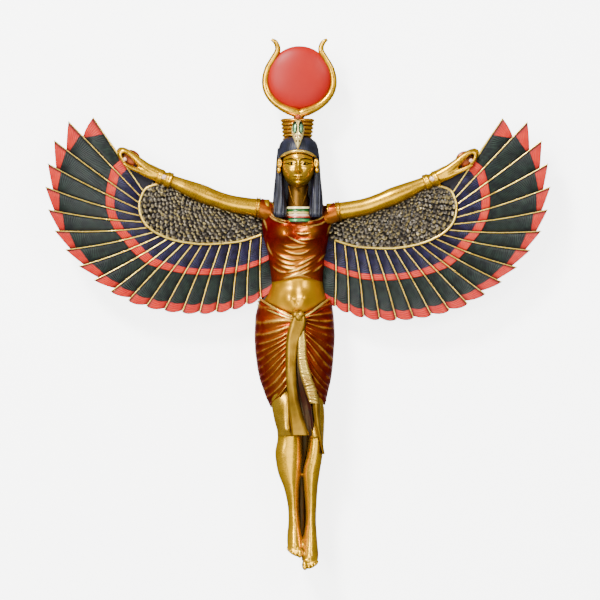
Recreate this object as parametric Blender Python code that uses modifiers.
# Winged goddess wall plaque: one resin casting with a flat back that hangs against a wall.
# Z is up, the front faces -Y, and the origin is on the flat back at chest height.

import math

import bmesh
import bpy

MM = 0.001

# Driving sizes, in millimetres. A side is the plaque's right as seen from the front where x is positive.
HALF_SPAN = 158.5

# Wings
FEATHERS = 20
WING_FACE = 13.0
WING_SWEEP = 8.0
PLATE_INNER = 6.0
PLATE_OUTER = 3.2
QUILL_RISE = 1.6
VANE_RISE = 0.7
COVERT_RISE = 0.9
PATCH_RISE = 1.4
TIP_DROP = -0.4

# One feather's section from its quill to the next: (share of the way across, rise).
VANE_SECTION = ((0.0, QUILL_RISE), (0.14, 0.6 * VANE_RISE), (0.9, 0.0))
BORDER_RISE = 2.4
BORDER_WIDTH = 2.2
RIGHT_DROOP = 2.4
RIGHT_DROOP_BELOW = 0.06

# Outline of the feather tips from the leading tip down and in to the last one, as (out, up).
TIP_LINE = ((128.7, 61.2), (144.4, 58.6), (152.9, 47.2), (HALF_SPAN, 19.0), (152.9, -9.4), (137.2, -32.6),
            (116.2, -49.0), (93.2, -57.6), (66.0, -61.2), (42.4, -59.2), (23.4, -52.0))
TIP_STEPS = 0.6

# Line where the feathers leave the border of the scaled patch, from the leading quill to the last one.
ROOT_LINE = ((97.4, 15.1), (100.5, 7.0), (99.0, -2.6), (92.6, -10.2), (79.8, -16.2), (63.5, -19.0),
             (50.0, -18.9), (35.8, -17.4), (23.2, -13.5))
ROOT_STEPS = 1.8

# Top of the scaled patch, under the arm, from the wrist to the armpit.
ARM_LINE = ((84.5, 22.4), (72.0, 17.6), (60.0, 13.0), (42.0, 7.0), (24.0, 4.5))

# Last feather line, hidden inside the body, as its tip, root and arm points.
BODY_QUILL = ((13.0, -44.0), (14.0, -11.0), (12.0, 3.5))

# Plate that fills the corner between the leading quill, the wrist and the hand, as (out, up).
HAND_PLATE = ((83.0, 20.0), (89.5, 20.0), (97.9, 14.6), (105.6, 26.0), (112.4, 36.0), (109.0, 39.0), (96.0, 30.0))

# Feather rules, each as (feather number, value).
COVERT_SHARE = ((1, 0.43), (3, 0.355), (8, 0.34), (11, 0.44), (21, 0.46))
QUILL_BOW = ((1, 0.0), (2, 0.0), (5, -1.2), (9, -1.2), (12, 0.6), (21, 0.7))
TIP_CUT = ((1, 15.0), (2, 9.4), (3, 6.0), (6, 3.0), (10, 3.6), (12, 1.6), (21, 1.2))
TIP_LOBE = ((1, 0.0), (9, 0.0), (12, 2.0), (21, 2.0))

# Arms and hands, as (out, ahead of the wing's face, up, radius).
ARM = ((10.0, 3.6, 3.5, 6.4), (24.4, 3.8, 4.6, 5.6), (41.0, 3.8, 7.0, 5.4), (52.0, 3.8, 10.4, 5.3),
       (60.0, 3.6, 13.4, 5.7), (70.0, 3.4, 17.4, 4.9), (78.8, 3.0, 21.2, 3.9), (92.0, 2.8, 26.0, 3.7))
FINGERS = ((88.0, 3.0, 24.6, 4.0), (95.0, 3.2, 28.4, 4.4), (101.5, 3.6, 33.0, 3.4), (108.0, 3.4, 38.8, 2.6),
           (113.4, 2.2, 41.4, 1.7))
THUMB = ((88.0, 3.2, 23.4, 3.4), (97.0, 4.0, 25.6, 2.6), (104.0, 4.4, 28.2, 2.0), (110.4, 3.6, 32.2, 1.7))
BRACELET = ((79.4, 3.0, 21.4, 4.8), (88.0, 3.0, 24.4, 4.7))
ARMBAND = ((24.2, 3.6, 4.6, 6.6), (26.6, 3.7, 4.9, 6.5))

# Torso, from the shoulders to the hips: (up, left side, right side, depth).
TORSO = ((10.6, -19.0, 19.0, 17.0), (8.6, -23.6, 22.6, 21.5), (4.0, -24.6, 23.4, 25.5), (-4.0, -24.0, 22.4, 28.5),
         (-13.0, -22.2, 19.8, 30.0), (-26.0, -18.7, 17.1, 28.5), (-38.0, -17.1, 15.8, 27.0),
         (-44.0, -17.2, 16.4, 27.5), (-50.0, -20.3, 18.6, 29.0), (-56.0, -23.6, 20.4, 30.0),
         (-66.0, -25.0, 22.0, 29.0))
BREAST = (9.2, -13.5, 8.0, 6.5)
DRAPE_RISE = 1.3
DRAPE_PITCH = 7.5
DRAPE_LOW = -41.5
BODICE_RISE = 0.8
NAVEL = (0.4, -52.0, 1.6, 1.8)

# Skirt: (up, left side, right side, depth).
SKIRT = ((-50.0, -22.6, 19.6, 31.0), (-53.0, -24.4, 21.2, 32.0), (-63.0, -26.5, 22.5, 33.5), (-76.0, -26.9, 23.3, 35.0),
         (-86.0, -26.4, 22.7, 35.0), (-97.0, -24.9, 21.8, 34.5), (-104.0, -23.5, 20.8, 34.0),
         (-115.0, -20.3, 18.4, 32.5), (-121.0, -17.2, 16.9, 31.0))
FAN_POINT = (0.2, -62.6)
FAN_REACH = 112.0
HEM_SIDE = -121.0
HEM_FRONT = -106.0
HEM_HALF = 17.0
PLEATS = 23
PLEAT_RISE = 1.0
PLEAT_SAG = 1.6

# Legs: (up, left side, right side, back, front).
LEFT_LEG = ((-98.0, -19.0, 2.0, 0.0, 28.0), (-116.0, -17.6, 2.0, 0.0, 28.5), (-129.0, -14.9, 2.0, 0.0, 28.0),
            (-137.5, -12.4, 2.2, 0.0, 28.5), (-150.0, -13.5, 2.5, 0.0, 24.0), (-162.0, -11.6, 1.9, 0.0, 22.5),
            (-172.0, -8.0, 0.9, 0.0, 21.5), (-183.0, -5.9, 0.6, 0.0, 20.5), (-193.0, -5.6, 1.3, 0.0, 21.5),
            (-201.0, -6.5, 2.1, 3.0, 24.5), (-207.0, -6.8, 2.4, 9.0, 27.5), (-209.5, -6.2, 2.0, 13.0, 27.5))
RIGHT_LEG = ((-98.0, 0.0, 18.6, 0.0, 28.0), (-120.0, 3.0, 16.8, 0.0, 28.5), (-132.0, 5.6, 16.6, 0.0, 28.0),
             (-140.0, 6.5, 15.7, 0.0, 28.5), (-151.5, 5.4, 14.5, 0.0, 24.5), (-161.0, 3.3, 13.3, 0.0, 23.0),
             (-171.0, 3.7, 12.2, 0.0, 21.5), (-183.0, 4.7, 11.8, 0.0, 20.5), (-193.0, 4.8, 11.5, 0.0, 21.0),
             (-203.0, 3.4, 12.1, 2.0, 23.5), (-213.0, 2.3, 12.9, 8.0, 27.0), (-217.5, 2.4, 12.4, 13.0, 27.5))
WEB = ((-96.0, -4.0, 8.0, 0.0, 20.0), (-140.0, 0.0, 9.0, 0.0, 9.0), (-170.0, -1.0, 5.5, 0.0, 8.0),
       (-204.0, -1.0, 5.5, 0.0, 7.0))

# Toes: first one's place (out, forward, up), last one's place, first and last radius.
LEFT_TOES = ((1.0, 25.4, -212.2), (-6.0, 23.4, -208.8), 1.9, 1.1)
RIGHT_TOES = ((3.9, 25.4, -220.4), (11.9, 23.6, -218.2), 2.1, 1.2)
TOES = 5

# Sashes and the cloth between them: (up, left side, right side, back, front).
LEFT_SASH = ((-61.0, -3.0, 2.0, 26.0, 37.5), (-77.0, -6.3, -0.2, 26.0, 38.5), (-100.0, -7.7, -1.2, 26.0, 38.5),
             (-115.0, -6.4, -0.4, 24.0, 36.0), (-126.0, -5.4, 1.8, 20.0, 33.0), (-138.0, -4.0, 7.2, 20.0, 32.0))
RIGHT_SASH = ((-62.0, -1.6, 3.6, 26.0, 38.5), (-72.0, 0.2, 4.6, 26.0, 39.5), (-86.0, -0.8, 5.6, 26.0, 39.5),
              (-101.0, 1.2, 8.4, 26.0, 39.0), (-112.0, 5.0, 12.3, 24.0, 37.0), (-122.0, 7.9, 15.8, 22.0, 34.0),
              (-131.0, 10.2, 15.2, 22.0, 33.0), (-140.0, 13.0, 15.2, 20.0, 31.0), (-150.0, 15.0, 16.3, 18.0, 27.0))
INNER_CLOTH = ((-66.0, -3.0, 2.0, 20.0, 35.5), (-100.0, -3.0, 5.0, 20.0, 35.5), (-120.0, -1.0, 10.0, 16.0, 31.0),
               (-138.5, 3.0, 11.0, 14.0, 28.0))
KNOT = (0.2, -36.0, -63.0, 3.6, 3.4, 3.6)
BAND_RADIUS = 1.5

# Head and wig
HEAD = (0.2, -22.5, 29.6, 10.0, 13.0, 12.6)
NECK = ((0.2, -17.0, 24.0, 7.0), (0.2, -17.5, 10.0, 6.6), (0.4, -17.0, -2.0, 8.0))
COLLAR_WIDTH = 6.6
COLLAR_TOP = 4.6
COLLAR_LOW = -4.0
COLLAR_RIBS = 3
WIG_TOP = ((48.9, 5.0, 7.0), (48.0, 8.0, 10.5), (45.8, 10.9, 13.2), (42.6, 12.6, 15.0), (39.4, 13.3, 15.6))
WIG_CENTRE = (0.3, 18.5)
LAPPET = ((42.0, 6.0, 12.9, 22.0, 6.0), (34.0, 9.8, 13.7, 25.5, 6.0), (24.0, 9.2, 14.4, 26.5, 6.0),
          (14.0, 8.2, 15.4, 28.5, 8.0), (5.0, 7.0, 15.9, 32.5, 14.0), (0.6, 6.6, 15.7, 34.5, 20.0),
          (-1.6, 7.6, 14.6, 34.5, 24.0))
WIG_BACK = ((44.0, -11.0, 11.0, 18.0), (30.0, -13.0, 13.4, 20.0), (10.0, -14.6, 15.0, 18.0), (0.0, -15.0, 15.2, 18.0))
EAR = (11.0, -26.4, 31.6, 1.9, 2.4, 4.2)
EARRING = (12.0, -27.2, 25.6, 1.5)

# Crown
MODIUS_RADIUS = 9.8
MODIUS_CENTRE = (-0.3, -15.5)
MODIUS_LOW = 46.5
MODIUS_TOP = 60.6
MODIUS_RIBS = 4
URAEUS = (0.0, -25.5, 53.0, 4.1, 4.0, 8.4)
URAEUS_TAIL = ((0.0, -27.0, 50.0, 2.6), (-0.4, -32.0, 46.0, 2.2), (-0.5, -34.4, 41.6, 1.5))
URAEUS_HEAD = (0.0, -27.5, 61.6, 1.8)
DISC = (0.9, -13.0, 86.5)
DISC_RADIUS = 19.7
DISC_BULGE = 5.5
HORN = ((-1.0, 15.0, 61.5, 2.4), (4.5, 15.0, 64.4, 2.5), (12.5, 14.2, 68.8, 2.3), (18.6, 13.4, 74.5, 2.1),
        (21.5, 13.0, 82.0, 2.2), (20.9, 13.2, 90.2, 2.1), (16.9, 13.8, 97.2, 1.9), (13.3, 14.2, 102.4, 1.6),
        (13.0, 14.6, 106.0, 1.2), (15.4, 15.2, 110.0, 0.7))
BACK_SPARE = 2.0


def clear_scene():
    for item in list(bpy.data.objects):
        bpy.data.objects.remove(item, do_unlink=True)


def make_collection(name):
    group = bpy.data.collections.new(name)
    bpy.context.scene.collection.children.link(group)
    return group


def curve_point(stations, share):
    """Point of the smooth curve through the stations, share from 0 to 1."""
    last = len(stations) - 1
    place = min(max(share * last, 0.0), last - 1e-9)
    index = int(place)
    t = place - index
    a = stations[max(index - 1, 0)]
    b = stations[index]
    c = stations[index + 1]
    d = stations[min(index + 2, last)]
    return tuple(0.5 * (2 * q + (r - p) * t + (2 * p - 5 * q + 4 * r - s) * t * t
                        + (3 * q - p - 3 * r + s) * t ** 3)
                 for p, q, r, s in zip(a, b, c, d))


def spaced_line(stations, count, growth=1.0):
    """Points along the smooth curve, whose last step is growth times the first."""
    fine = [curve_point(stations, i / 400) for i in range(401)]
    run = [0.0]
    for a, b in zip(fine, fine[1:]):
        run.append(run[-1] + math.dist(a[:3], b[:3]))
    steps = [1 + (growth - 1) * i / max(count - 2, 1) for i in range(count - 1)]
    marks = [sum(steps[:i]) / sum(steps) * run[-1] for i in range(count)]
    line = []
    index = 0
    for mark in marks:
        while index < len(run) - 2 and run[index + 1] < mark:
            index += 1
        t = (mark - run[index]) / (run[index + 1] - run[index])
        t = min(max(t, 0.0), 1.0)
        line.append(tuple(p + (q - p) * t for p, q in zip(fine[index], fine[index + 1])))
    return line


def read(stations, key):
    """Values beside the key, from rows that start with it, eased between rows."""
    rows = sorted(stations)
    if key <= rows[0][0]:
        return rows[0][1:]
    for low, high in zip(rows, rows[1:]):
        if key <= high[0]:
            t = (key - low[0]) / (high[0] - low[0])
            return tuple(p + (q - p) * t for p, q in zip(low[1:], high[1:]))
    return rows[-1][1:]


def bump(distance, width):
    return math.exp(-(distance / width) ** 2)


def finish_mesh(name, bm, group):
    bmesh.ops.recalc_face_normals(bm, faces=bm.faces)
    mesh = bpy.data.meshes.new(name)
    bm.to_mesh(mesh)
    bm.free()
    piece = bpy.data.objects.new(name, mesh)
    group.objects.link(piece)
    return piece


def loft(name, rings, group):
    """Closed body through rings of (x, y, z) in millimetres, all with the same number of points."""
    bm = bmesh.new()
    rows = [[bm.verts.new([v * MM for v in spot]) for spot in ring] for ring in rings]
    for upper, lower in zip(rows, rows[1:]):
        for i in range(len(upper)):
            j = (i + 1) % len(upper)
            bm.faces.new((upper[i], upper[j], lower[j], lower[i]))
    for row in (rows[0], rows[-1]):
        middle = [sum(v.co[axis] for v in row) / len(row) for axis in range(3)]
        centre = bm.verts.new(middle)
        for i in range(len(row)):
            bm.faces.new((row[i], row[(i + 1) % len(row)], centre))
    return finish_mesh(name, bm, group)


def tube(name, stations, count, group, facets=2, side=1):
    """Round body along stations of (out, forward, up, radius)."""
    curve = bpy.data.curves.new(name, "CURVE")
    curve.dimensions = "3D"
    curve.bevel_depth = MM
    curve.bevel_resolution = facets
    curve.use_fill_caps = True
    line = spaced_line(stations, count)
    spline = curve.splines.new("POLY")
    spline.points.add(len(line) - 1)
    for spot, (out, forward, up, radius) in zip(spline.points, line):
        spot.co = (side * out * MM, -forward * MM, right_drop(side * out, up) * MM, 1)
        spot.radius = radius
    guide = bpy.data.objects.new(name, curve)
    group.objects.link(guide)
    shape = guide.evaluated_get(bpy.context.evaluated_depsgraph_get())
    mesh = bpy.data.meshes.new_from_object(shape)
    bm = bmesh.new()
    bm.from_mesh(mesh)
    bmesh.ops.remove_doubles(bm, verts=bm.verts, dist=0.00001)
    bpy.data.objects.remove(guide, do_unlink=True)
    return finish_mesh(name, bm, group)


def ball(name, x, y, z, wide, deep, high, group, segments=12, rings=8):
    bm = bmesh.new()
    bmesh.ops.create_uvsphere(bm, u_segments=segments, v_segments=rings, radius=1)
    for vert in bm.verts:
        vert.co = ((x + vert.co.x * wide) * MM, (y + vert.co.y * deep) * MM, (z + vert.co.z * high) * MM)
    return finish_mesh(name, bm, group)


def right_drop(x, z):
    """Height of a wing or arm point: the right side hangs a little lower near the body."""
    if x <= 0:
        return z
    fade = max(1 - x / HALF_SPAN, 0.0)
    below = max(12.0 - z, 0.0)
    return z - fade * (RIGHT_DROOP + RIGHT_DROOP_BELOW * below)


def wing_depth(out):
    return WING_FACE + WING_SWEEP * (max(out, 0.0) / HALF_SPAN) ** 1.6


def wing_plate(out):
    return PLATE_INNER + (PLATE_OUTER - PLATE_INNER) * min(out / HALF_SPAN, 1.0)


def quill_lines():
    """Tip, root and arm point of every quill from the leading one to the one inside the body."""
    tips = spaced_line(TIP_LINE, FEATHERS, TIP_STEPS)
    roots = spaced_line(ROOT_LINE, FEATHERS, ROOT_STEPS)
    tops = spaced_line(ARM_LINE, FEATHERS, 1.3)
    return list(zip(tips, roots, tops)) + [BODY_QUILL]


def quill_point(lines, index, share):
    tip, root, _ = lines[index]
    along = (tip[0] - root[0], tip[1] - root[1])
    length = math.hypot(*along)
    bow = read(QUILL_BOW, index + 1)[0] * math.sin(math.pi * min(share, 1.0))
    return (root[0] + along[0] * share - along[1] / length * bow,
            root[1] + along[1] * share + along[0] / length * bow)


def vane_end(lines, index, across):
    """Share of the quill's length where the vane after that quill stops."""
    tip, root, _ = lines[min(index + 1, len(lines) - 1)]
    length = math.hypot(tip[0] - root[0], tip[1] - root[1])
    cut = read(TIP_CUT, index + 1)[0] / length
    lobe = read(TIP_LOBE, index + 1)[0] / length
    return 1 - cut * across + lobe * math.sin(math.pi * across) ** 0.7


def wing_column(lines, index, across, rise):
    """Front and back points of one column, from the arm line to the feather's end."""
    following = min(index + 1, len(lines) - 1)

    def blend(near, far):
        return tuple(p + (q - p) * across for p, q in zip(near, far))

    top = blend(lines[index][2], lines[following][2])
    root = blend(lines[index][1], lines[following][1])
    covert = read(COVERT_SHARE, index + 1 + across)[0]
    end = vane_end(lines, index, across)
    rim = BORDER_WIDTH / math.dist(top, root)
    front = []
    for share, extra in ((0.0, PATCH_RISE), (1 - rim, PATCH_RISE), (1 - rim * 0.5, BORDER_RISE)):
        out = top[0] + (root[0] - top[0]) * share
        up = top[1] + (root[1] - top[1]) * share
        front.append((out, wing_depth(out) + COVERT_RISE + extra, up))
    rows = ((0.0, COVERT_RISE), (covert, COVERT_RISE), (covert + 0.03, 0.0), (end, TIP_DROP))
    for share, extra in rows:
        out, up = blend(quill_point(lines, index, share), quill_point(lines, following, share))
        front.append((out, wing_depth(out) + rise + extra, up))
    back = [(out, wing_depth(out) - wing_plate(out), up) for out, _, up in (front[0], front[3], front[-1])]
    return front, back


def add_wing(side, group):
    """Plate of feathers from the arm out to the cut tips, one column set for each feather."""
    lines = quill_lines()
    columns = []
    for index in range(FEATHERS):
        for across, rise in VANE_SECTION:
            columns.append(wing_column(lines, index, across, rise))
    columns.append(wing_column(lines, FEATHERS, 0.0, VANE_SECTION[0][1]))

    bm = bmesh.new()

    def place(spots):
        return [bm.verts.new((side * out * MM, -forward * MM, right_drop(side * out, up) * MM))
                for out, forward, up in spots]

    front = [place(column) for column, _ in columns]
    back = [place(rear) for _, rear in columns]
    for sheet in (front, back):
        for a, b in zip(sheet, sheet[1:]):
            for i in range(len(a) - 1):
                bm.faces.new((a[i], a[i + 1], b[i + 1], b[i]))
    for i in range(len(front) - 1):
        for end in (0, -1):
            bm.faces.new((front[i][end], front[i + 1][end], back[i + 1][end], back[i][end]))
    for end in (0, -1):
        bm.faces.new(front[end][:4] + back[end][1::-1])
        bm.faces.new(front[end][3:] + back[end][:0:-1])
    finish_mesh("wing", bm, group)


def add_hand_plate(side, group):
    rings = []
    for front in (True, False):
        ring = []
        for out, up in HAND_PLATE:
            forward = wing_depth(out) + COVERT_RISE if front else wing_depth(out) - wing_plate(out) + 0.4
            ring.append((side * out, -forward, right_drop(side * out, up)))
        rings.append(ring)
    loft("hand_plate", rings, group)


def body_ring(z, left, right, depth, count, relief):
    """Ring with a round front and a back that runs past the wall plane."""
    centre = (left + right) / 2
    half = (right - left) / 2
    ring = []
    for i in range(count):
        angle = math.pi * (i / (count - 1) - 0.5)
        x = centre + half * math.sin(angle)
        forward = depth * math.cos(angle) ** 0.75
        height = z(angle) if callable(z) else z
        edge = i in (0, count - 1)
        forward = -BACK_SPARE if edge else forward + relief(x, height, angle) * math.cos(angle) ** 0.5
        ring.append((x, -forward, height))
    return ring


def torso_relief(x, z, angle):
    """Breasts, the drape that hangs between them in swags, and the navel."""
    out, up, width, rise = BREAST
    total = 0.0
    for side in (-1, 1):
        total += rise * bump(x - side * out, width) * bump(z - up, width)
    if z > DRAPE_LOW:
        swag = z - 0.03 * x * x
        fold = 0.5 + 0.5 * math.cos(swag * 2 * math.pi / DRAPE_PITCH)
        low = min((z - DRAPE_LOW) / 1.0, 1.0)
        total += BODICE_RISE * low + DRAPE_RISE * fold * bump(x, 14.0) * bump(min(z + 20.0, 0.0), 30.0)
    total -= NAVEL[3] * bump(x - NAVEL[0], NAVEL[2]) * bump(z - NAVEL[1], NAVEL[2])
    return total


def add_torso(group):
    heights = [TORSO[0][0], 8.6, 5.0, 1.0, -3.0, -6.0, -9.0]
    heights += [-12.0 - 2.5 * i for i in range(12)]
    heights += [DRAPE_LOW, -43.5, -47.0, -50.0, -52.0, -54.0, -60.0, -66.0]
    rings = []
    for z in heights:
        left, right, depth = read(TORSO, z)
        rings.append(body_ring(z, left, right, depth, 16, torso_relief))
    return loft("torso", rings, group)


def skirt_hem(x):
    """Lower edge of the skirt, high at the middle and low at its two corners."""
    share = min(abs(x) / HEM_HALF, 1.0)
    return HEM_FRONT + (HEM_SIDE - HEM_FRONT) * share ** 1.5


def skirt_reach(angle):
    """Length of the pleat that leaves the knot at this angle from straight down."""
    reach = 0.0
    while reach < 90.0:
        reach += 0.25
        x = FAN_POINT[0] + reach * math.sin(angle)
        z = FAN_POINT[1] - reach * math.cos(angle)
        left, right, _ = read(SKIRT, z)
        if x <= left or x >= right or z <= skirt_hem(x):
            break
    return reach


def skirt_forward(x, z):
    left, right, depth = read(SKIRT, z)
    share = (x - (left + right) / 2) / ((right - left) / 2)
    return depth * max(1 - share * share, 0.0) ** 0.375


def add_skirt(group):
    """Skirt of narrow pleats that fan out from the knot to the hips and the hem."""
    bm = bmesh.new()
    count = PLEATS * 2
    shares = (0.12, 0.3, 0.5, 0.68, 0.83, 0.94, 1.0)

    def place(x, forward, z):
        return bm.verts.new((x * MM, -forward * MM, z * MM))

    centre = place(FAN_POINT[0], skirt_forward(*FAN_POINT), FAN_POINT[1])
    back_centre = place(FAN_POINT[0], -BACK_SPARE, FAN_POINT[1])
    front = []
    back = []
    for i in range(count + 1):
        angle = math.radians(FAN_REACH) * (2 * i / count - 1)
        reach = skirt_reach(angle)
        spokes = []
        for share in shares:
            x = FAN_POINT[0] + reach * share * math.sin(angle)
            z = FAN_POINT[1] - reach * share * math.cos(angle)
            z -= PLEAT_SAG * math.sin(angle) ** 2 * 4 * share * (1 - share)
            fold = PLEAT_RISE * share ** 0.5 if i % 2 else 0.0
            spokes.append(place(x, skirt_forward(x, z) + fold, z))
        front.append(spokes)
        back.append(place(spokes[-1].co.x / MM, -BACK_SPARE, spokes[-1].co.z / MM))
    for a, b, low, high in zip(front, front[1:], back, back[1:]):
        bm.faces.new((centre, a[0], b[0]))
        for i in range(len(shares) - 1):
            bm.faces.new((a[i], a[i + 1], b[i + 1], b[i]))
        bm.faces.new((a[-1], low, high, b[-1]))
        bm.faces.new((back_centre, high, low))
    for spokes, low in ((front[0], back[0]), (front[-1], back[-1])):
        bm.faces.new([centre] + spokes + [low, back_centre])
    finish_mesh("skirt", bm, group)


def add_hip_band(group):
    """Rolled band that dips from the hips to the knot."""
    stations = []
    for side in (-1, 1):
        for share in (0.97, 0.75, 0.5, 0.25):
            angle = math.radians(FAN_REACH)
            reach = skirt_reach(side * angle) * share
            x = FAN_POINT[0] + side * reach * math.sin(angle)
            z = FAN_POINT[1] - reach * math.cos(angle) - 1.5 * math.sin(math.pi * share)
            stations.append((x, skirt_forward(x, z) + 0.5, z, BAND_RADIUS))
    stations = stations[:4] + [(FAN_POINT[0], skirt_forward(*FAN_POINT), FAN_POINT[1], BAND_RADIUS)] + stations[:3:-1]
    tube("hip_band", stations, 15, group, facets=1)


def add_slab(name, stations, count, group, sides=12, square=0.8):
    """Upright body whose sections are given by their sides, back and front."""
    rings = []
    for i in range(count):
        up, left, right, back, front = curve_point(stations, i / (count - 1))
        centre = (left + right) / 2
        half = (right - left) / 2
        middle = (back + front) / 2
        deep = (front - back) / 2
        if back < 1.0:
            middle -= BACK_SPARE / 2
            deep += BACK_SPARE / 2
        ring = []
        for j in range(sides):
            angle = 2 * math.pi * (j + 0.5) / sides
            wide = math.copysign(abs(math.cos(angle)) ** square, math.cos(angle))
            fore = math.copysign(abs(math.sin(angle)) ** square, math.sin(angle))
            ring.append((centre + half * wide, -(middle + deep * fore), up))
        rings.append(ring)
    return loft(name, rings, group)


def add_toes(toes, group):
    first, last, big, small = toes
    for i in range(TOES):
        share = i / (TOES - 1)
        x, forward, z = (p + (q - p) * share for p, q in zip(first, last))
        radius = big + (small - big) * share
        ball("toe", x, -forward, z, radius * 0.85, radius * 1.5, radius * 1.5, group, 6, 4)


def face_relief(x, z):
    """How far the face stands out at a point beside and above the head's centre."""
    nose = 3.0 * bump(x, 1.5) * bump(z + 1.6, 2.4) + 1.2 * bump(x, 1.3) * bump(z - 2.6, 3.0)
    lips = 1.3 * bump(x, 2.8) * bump(z + 6.3, 1.2)
    chin = 1.6 * bump(x, 3.0) * bump(z + 10.4, 2.2)
    sockets = -1.2 * (bump(x - 4.2, 2.6) + bump(x + 4.2, 2.6)) * bump(z - 2.6, 1.8)
    return nose + lips + chin + sockets


def add_head(group):
    x, y, z, wide, deep, high = HEAD
    bm = bmesh.new()
    bmesh.ops.create_uvsphere(bm, u_segments=16, v_segments=13, radius=1)
    for vert in bm.verts:
        right = vert.co.x * wide
        up = vert.co.z * high
        if vert.co.z < 0:
            right *= 1 - 0.16 * vert.co.z ** 2
        forward = -vert.co.y * deep
        if forward > 0:
            forward += face_relief(right, up)
        vert.co = ((x + right) * MM, (y - forward) * MM, (z + up) * MM)
    finish_mesh("face", bm, group)


def add_wig(group):
    """Dome over the head, a back part on the wall plane and two lappets on the chest."""
    rings = []
    for up, wide, deep in WIG_TOP:
        rings.append([(WIG_CENTRE[0] + wide * math.sin(a), -WIG_CENTRE[1] - deep * math.cos(a), up)
                      for a in (2 * math.pi * i / 18 for i in range(18))])
    loft("wig_top", rings, group)
    back = [(up, left, right, 0.0, front) for up, left, right, front in WIG_BACK]
    add_slab("wig_back", back, 4, group, sides=8, square=0.5)
    for side in (-1, 1):
        rows = []
        for up, inner, outer, front, rear in LAPPET:
            left, right = sorted((side * inner, side * outer))
            rows.append((up, left, right, rear, front))
        add_slab("lappet", rows, 7, group, sides=8, square=0.6)
        x, y, z, wide, deep, high = EAR
        ball("ear", side * x, y, z, wide, deep, high, group, 6, 4)
        ball("earring", side * EARRING[0], EARRING[1], EARRING[2], EARRING[3], EARRING[3], EARRING[3], group, 6, 4)


def turned(name, profile, centre, group, steps=14):
    """Body turned about an upright axis from a profile of (radius, up), top to bottom."""
    mesh = bpy.data.meshes.new(name)
    verts = [(radius * MM, 0, up * MM) for radius, up in profile]
    mesh.from_pydata(verts, [(i, i + 1) for i in range(len(verts) - 1)], [])
    guide = bpy.data.objects.new(name, mesh)
    group.objects.link(guide)
    screw = guide.modifiers.new("turn", "SCREW")
    screw.steps = steps
    screw.render_steps = steps
    screw.use_merge_vertices = True
    screw.merge_threshold = 0.00001
    screw.use_smooth_shade = False
    shape = guide.evaluated_get(bpy.context.evaluated_depsgraph_get())
    bm = bmesh.new()
    bm.from_mesh(bpy.data.meshes.new_from_object(shape))
    bmesh.ops.remove_doubles(bm, verts=bm.verts, dist=0.00001)
    bmesh.ops.translate(bm, verts=bm.verts, vec=(centre[0] * MM, centre[1] * MM, 0))
    bpy.data.objects.remove(guide, do_unlink=True)
    return finish_mesh(name, bm, group)


def ribbed_profile(radius, top, low, ribs, groove):
    profile = [(0.0, top), (radius - groove, top)]
    pitch = (top - low) / ribs
    for i in range(ribs):
        profile.append((radius, top - (i + 0.5) * pitch))
        profile.append((radius - groove, top - (i + 1) * pitch))
    profile.append((0.0, low))
    return profile


def add_crown(group):
    """Ribbed base, the cobra at its front, two horns and the disc held between them."""
    turned("modius", ribbed_profile(MODIUS_RADIUS, MODIUS_TOP, MODIUS_LOW, MODIUS_RIBS, 1.2), MODIUS_CENTRE, group)
    ball("uraeus", *URAEUS, group, 10, 6)
    x, y, z, radius = URAEUS_HEAD
    ball("uraeus_head", x, y, z, radius, radius * 1.2, radius, group, 6, 4)
    tail = [(x, -y, z, radius) for x, y, z, radius in URAEUS_TAIL]
    tube("uraeus_tail", tail, 6, group)
    ball("disc", DISC[0], DISC[1], DISC[2], DISC_RADIUS, DISC_BULGE, DISC_RADIUS, group, 24, 6)
    for side in (-1, 1):
        stations = [(side * out + DISC[0], forward, up, radius) for out, forward, up, radius in HORN]
        tube("horn", stations, 15, group, facets=1)


def add_arm(side, group):
    shapes = (("arm", ARM, 12, 2), ("fingers", FINGERS, 7, 1), ("thumb", THUMB, 6, 1), ("bracelet", BRACELET, 3, 2),
              ("armband", ARMBAND, 2, 3))
    for name, stations, count, facets in shapes:
        placed = [(out, wing_depth(out) + ahead, up, radius) for out, ahead, up, radius in stations]
        tube(name, placed, count, group, facets=facets, side=side)


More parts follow.
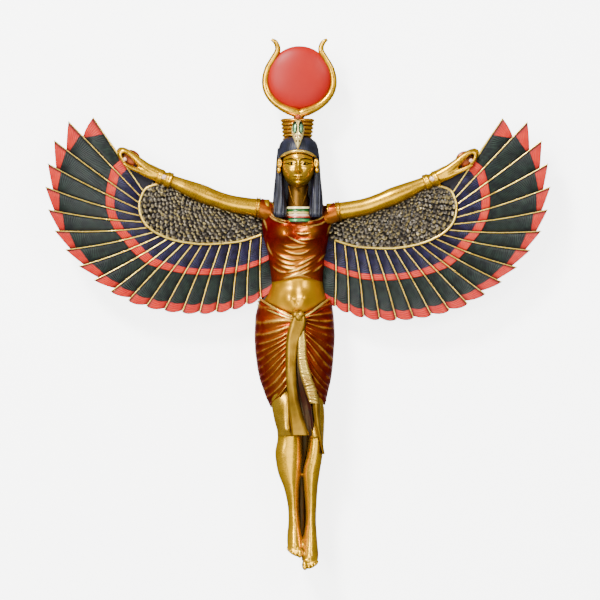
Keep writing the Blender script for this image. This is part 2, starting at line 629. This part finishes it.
def make_material(name, color, roughness, metallic):
    material = bpy.data.materials.new(name)
    material.use_nodes = True
    shader = material.node_tree.nodes["Principled BSDF"]
    shader.inputs["Base Color"].default_value = (*color, 1)
    shader.inputs["Roughness"].default_value = roughness
    shader.inputs["Metallic"].default_value = metallic
    return material


def build():
    clear_scene()
    model = make_collection("winged_goddess_plaque")
    parts = make_collection("joined_shapes")

    for side in (-1, 1):
        add_wing(side, parts)
        add_hand_plate(side, parts)
        add_arm(side, parts)
    add_skirt(parts)
    add_hip_band(parts)
    add_slab("left_leg", LEFT_LEG, 15, parts, sides=10)
    add_slab("right_leg", RIGHT_LEG, 15, parts, sides=10)
    add_slab("web", WEB, 6, parts, sides=8)
    add_toes(LEFT_TOES, parts)
    add_toes(RIGHT_TOES, parts)
    add_slab("inner_cloth", INNER_CLOTH, 6, parts, sides=8, square=0.5)
    add_slab("left_sash", LEFT_SASH, 10, parts, sides=8, square=0.5)
    add_slab("right_sash", RIGHT_SASH, 12, parts, sides=8, square=0.5)
    ball("knot", *KNOT, parts, 8, 6)
    tube("neck", [(x, -y, z, radius) for x, y, z, radius in NECK], 4, parts, facets=4)
    turned("collar", ribbed_profile(COLLAR_WIDTH + 3, COLLAR_TOP, COLLAR_LOW, COLLAR_RIBS, 0.8), (0.5, -20.0), parts)
    add_head(parts)
    add_wig(parts)
    add_crown(parts)

    body = add_torso(model)
    body.name = "winged_isis"
    body.data.name = "winged_isis"
    body.data.materials.append(make_material("painted_resin", (0.42, 0.27, 0.06), 0.45, 0.5))
    for piece in parts.objects:
        piece.hide_render = True
        piece.display_type = "WIRE"
    join = body.modifiers.new("join", "BOOLEAN")
    join.operation = "UNION"
    join.operand_type = "COLLECTION"
    join.collection = parts
    join.solver = "EXACT"

    wall = make_collection("cutters")
    bm = bmesh.new()
    bmesh.ops.create_cube(bm, size=1)
    for vert in bm.verts:
        vert.co = (vert.co.x * 0.6, vert.co.y * 0.1 + 0.05, vert.co.z * 0.8)
    cutter = finish_mesh("wall_plane", bm, wall)
    cutter.hide_render = True
    cutter.display_type = "WIRE"
    trim = body.modifiers.new("flat_back", "BOOLEAN")
    trim.operation = "DIFFERENCE"
    trim.object = cutter
    trim.solver = "EXACT"
    body.data.shade_smooth()


build()
